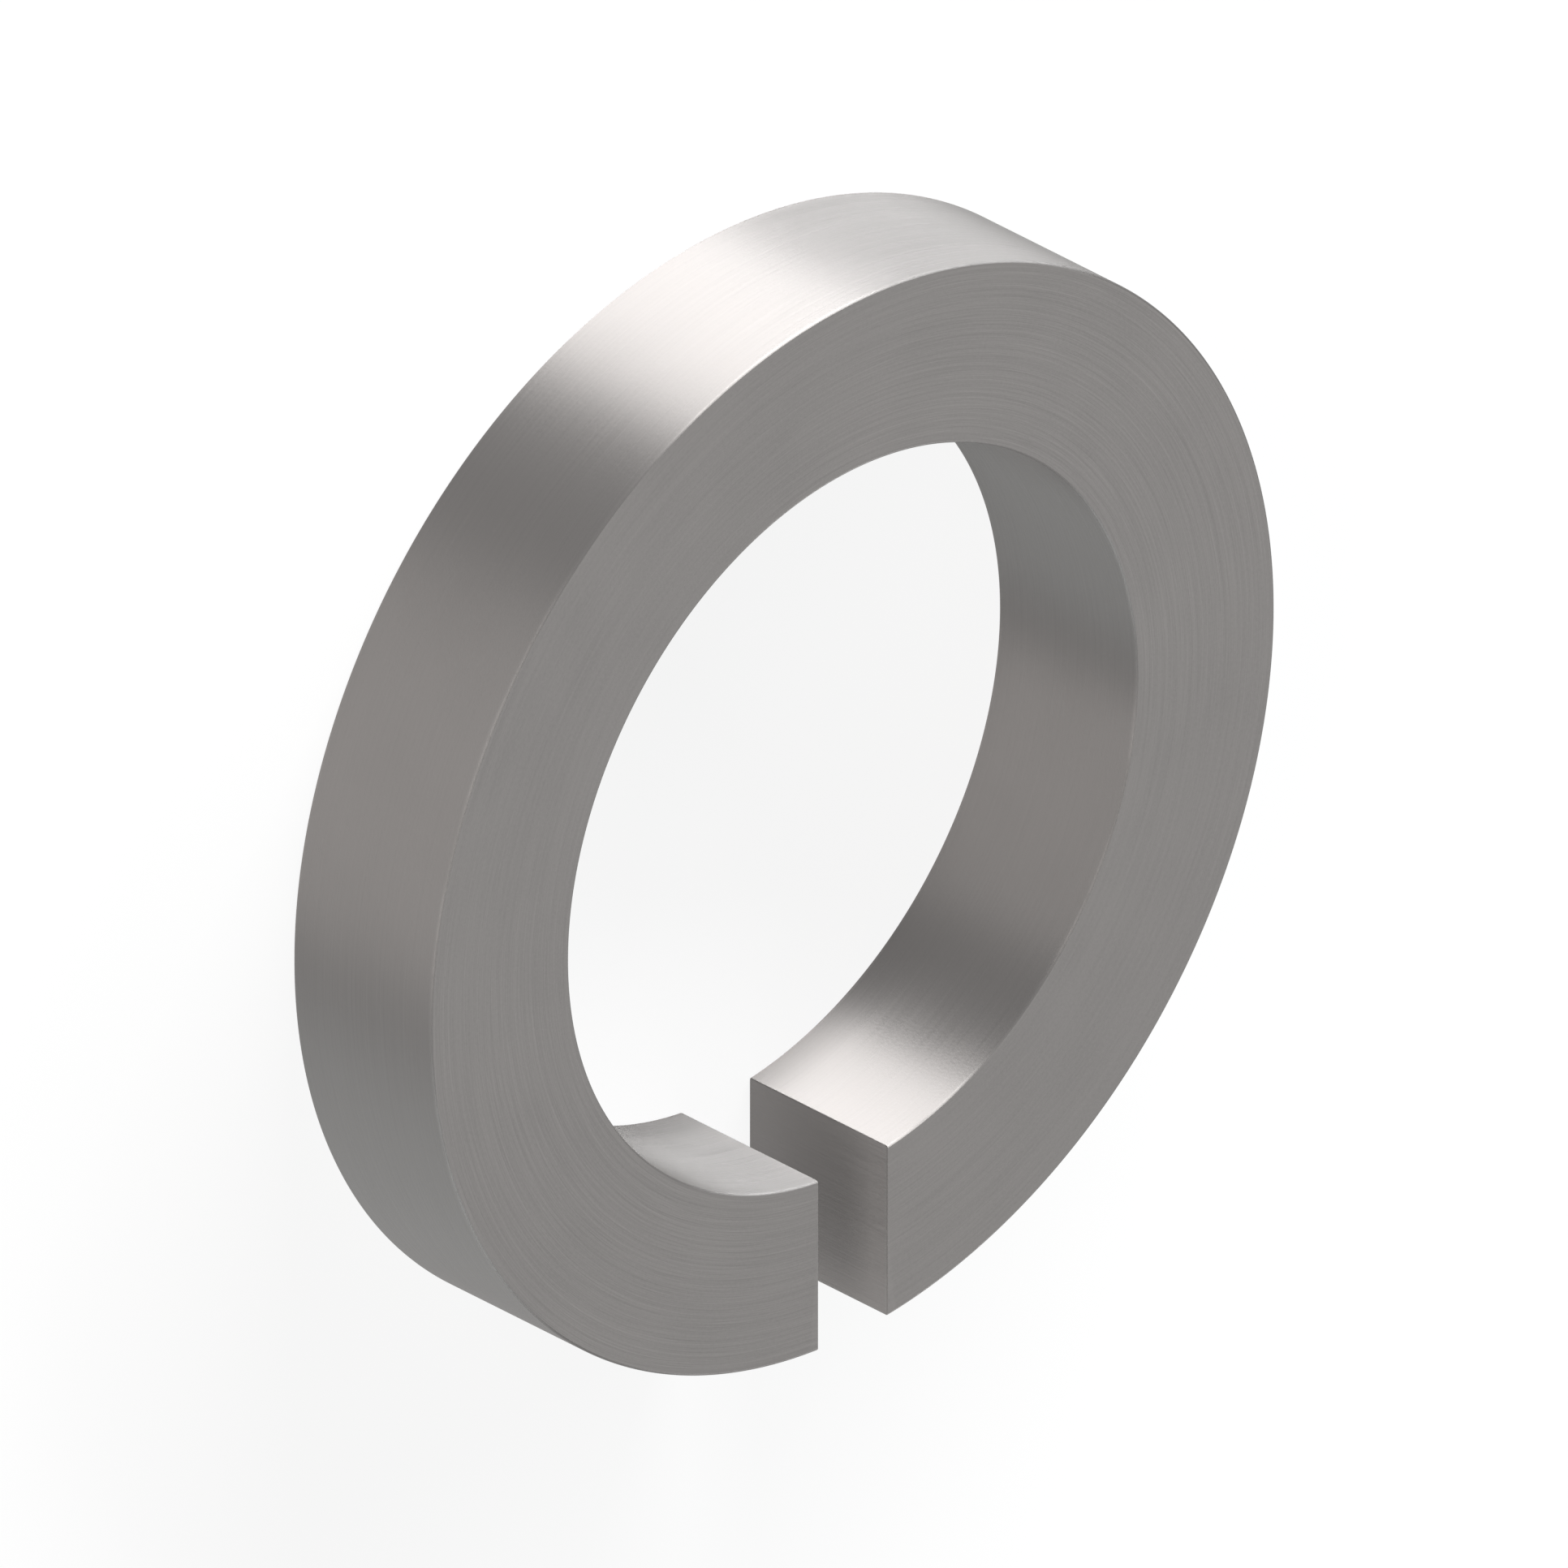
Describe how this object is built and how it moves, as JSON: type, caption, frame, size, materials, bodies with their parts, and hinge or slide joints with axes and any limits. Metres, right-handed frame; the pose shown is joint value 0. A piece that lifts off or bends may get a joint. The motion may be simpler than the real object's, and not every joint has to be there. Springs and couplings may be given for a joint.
{
  "type": "lock washer",
  "caption": "Flat split ring of square steel section with a straight gap through it, set under a screw head or nut to stop it working loose.",
  "frame": {"origin": "centre of the bore on the back face, which the washer rests on", "axes": "+Z along the bore axis, from the face it rests on to the upper face; the gap opens towards -Y; +X to the right seen from above with the gap nearest"},
  "size_m": [0.0152, 0.0152, 0.0025],
  "materials": {
    "steel": "satin mid-grey bare spring steel; faint lengthwise drawing marks, edges slightly polished, sheared ends lighter and duller"
  },
  "bodies": {
    "root": {"split_ring": "steel"}
  },
  "joints": []
}
